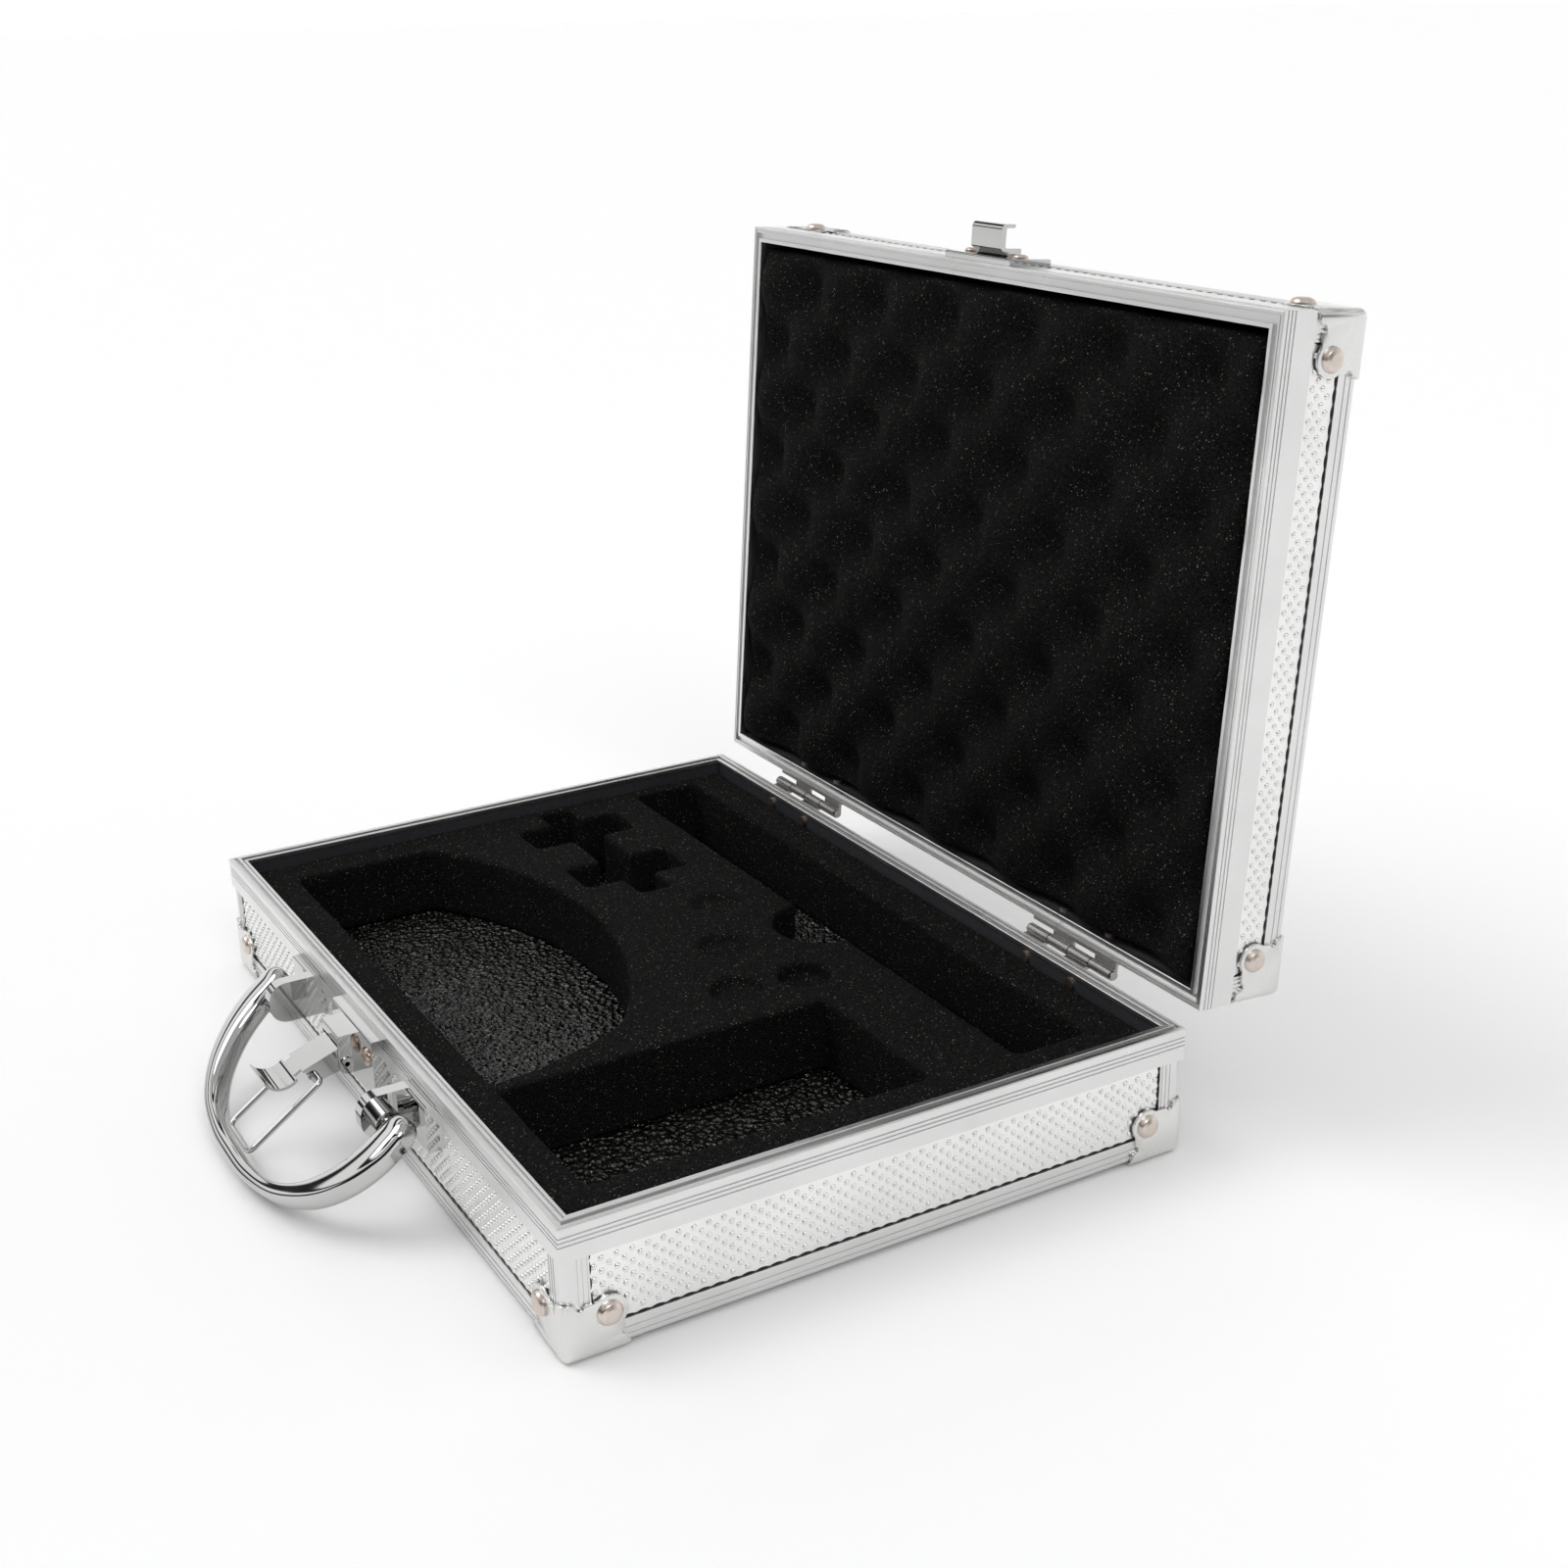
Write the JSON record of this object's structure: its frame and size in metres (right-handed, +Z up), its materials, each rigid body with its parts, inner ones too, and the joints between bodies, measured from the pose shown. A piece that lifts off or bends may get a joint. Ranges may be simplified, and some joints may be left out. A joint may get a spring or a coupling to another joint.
{
  "type": "attache case",
  "caption": "Aluminium-framed attache case, standing open, with cut foam in the base, egg-crate foam in the lid, a bow handle and a draw latch.",
  "frame": {"origin": "middle of the footprint at rest, on the floor plane", "axes": "+X along the hinge line, -Y towards the handle and latch, +Z up"},
  "size_m": [0.2842, 0.297, 0.2555],
  "materials": {
    "rim_aluminium": "satin anodised",
    "panel_sheet": "embossed, semi-matt",
    "backing_board": "plain board",
    "liner_plastic": "dark glossy film",
    "foam": "open-cell foam",
    "cap_steel": "plated, satin",
    "cap_rivet_steel": "worn plated dome",
    "small_rivet": "copper-toned plated dome",
    "hinge_steel": "plated",
    "chrome": "polished chrome plate"
  },
  "bodies": {
    "base": {"base_back_board": "backing_board", "base_cap_rivets": "cap_rivet_steel", "base_corner_caps": "cap_steel", "base_corner_posts": "rim_aluminium", "base_edge_rails": "rim_aluminium", "base_floor_board": "backing_board", "base_floor_skin": "panel_sheet", "base_foam_insert": "foam", "base_foam_pad": "foam", "base_front_board": "backing_board", "base_left_board": "backing_board", "base_liner": "liner_plastic", "base_right_board": "backing_board", "base_rim_frame": "rim_aluminium", "base_wall_skins": "panel_sheet", "handle_bracket_left": "chrome", "handle_bracket_right": "chrome", "handle_bracket_screws": "hinge_steel", "handle_pivot_pins": "chrome", "hinge_base_rivets": "small_rivet", "hinge_left_base_leaf": "hinge_steel", "hinge_left_pin": "hinge_steel", "hinge_right_base_leaf": "hinge_steel", "hinge_right_pin": "hinge_steel", "latch_base_plate": "chrome", "latch_channel": "chrome", "latch_lever_pin": "chrome", "latch_plate_rivets": "small_rivet"},
    "lid": {"catch_hook": "chrome", "catch_plate": "chrome", "catch_rivets": "small_rivet", "hinge_left_lid_leaf": "hinge_steel", "hinge_lid_rivets": "small_rivet", "hinge_right_lid_leaf": "hinge_steel", "lid_back_board": "backing_board", "lid_cap_rivets": "cap_rivet_steel", "lid_convoluted_foam": "foam", "lid_corner_caps": "cap_steel", "lid_corner_posts": "rim_aluminium", "lid_edge_rails": "rim_aluminium", "lid_front_board": "backing_board", "lid_left_board": "backing_board", "lid_liner": "liner_plastic", "lid_right_board": "backing_board", "lid_rim_frame": "rim_aluminium", "lid_top_board": "backing_board", "lid_top_skin": "panel_sheet", "lid_wall_skins": "panel_sheet"},
    "handle": {"handle_grip": "chrome"},
    "lever": {"latch_lever": "chrome"},
    "bail": {"latch_bail": "chrome"}
  },
  "joints": [
    {"name": "lid_hinge", "type": "hinge", "parent": "base", "child": "lid", "pos_m": [0, 0.10169, 0.0405], "axis": [1, 0, 0], "range_deg": [0, 94.36]},
    {"name": "handle_hinge", "type": "hinge", "parent": "base", "child": "handle", "pos_m": [0, -0.11331, 0.0292], "axis": [1, 0, 0], "range_deg": [-128.7, 51.3]},
    {"name": "lever_hinge", "type": "hinge", "parent": "base", "child": "lever", "pos_m": [0, -0.11111, 0.0287], "axis": [1, 0, 0], "range_deg": [0, 70]},
    {"name": "bail_hinge", "type": "hinge", "parent": "lever", "child": "bail", "pos_m": [0, -0.12002, 0.02631], "axis": [1, 0, 0], "range_deg": [-195.6, 0.1]}
  ],
  "couplings": [
    {"joint": "bail_hinge", "follows": "lever_hinge", "ratio": -2.7929}
  ]
}
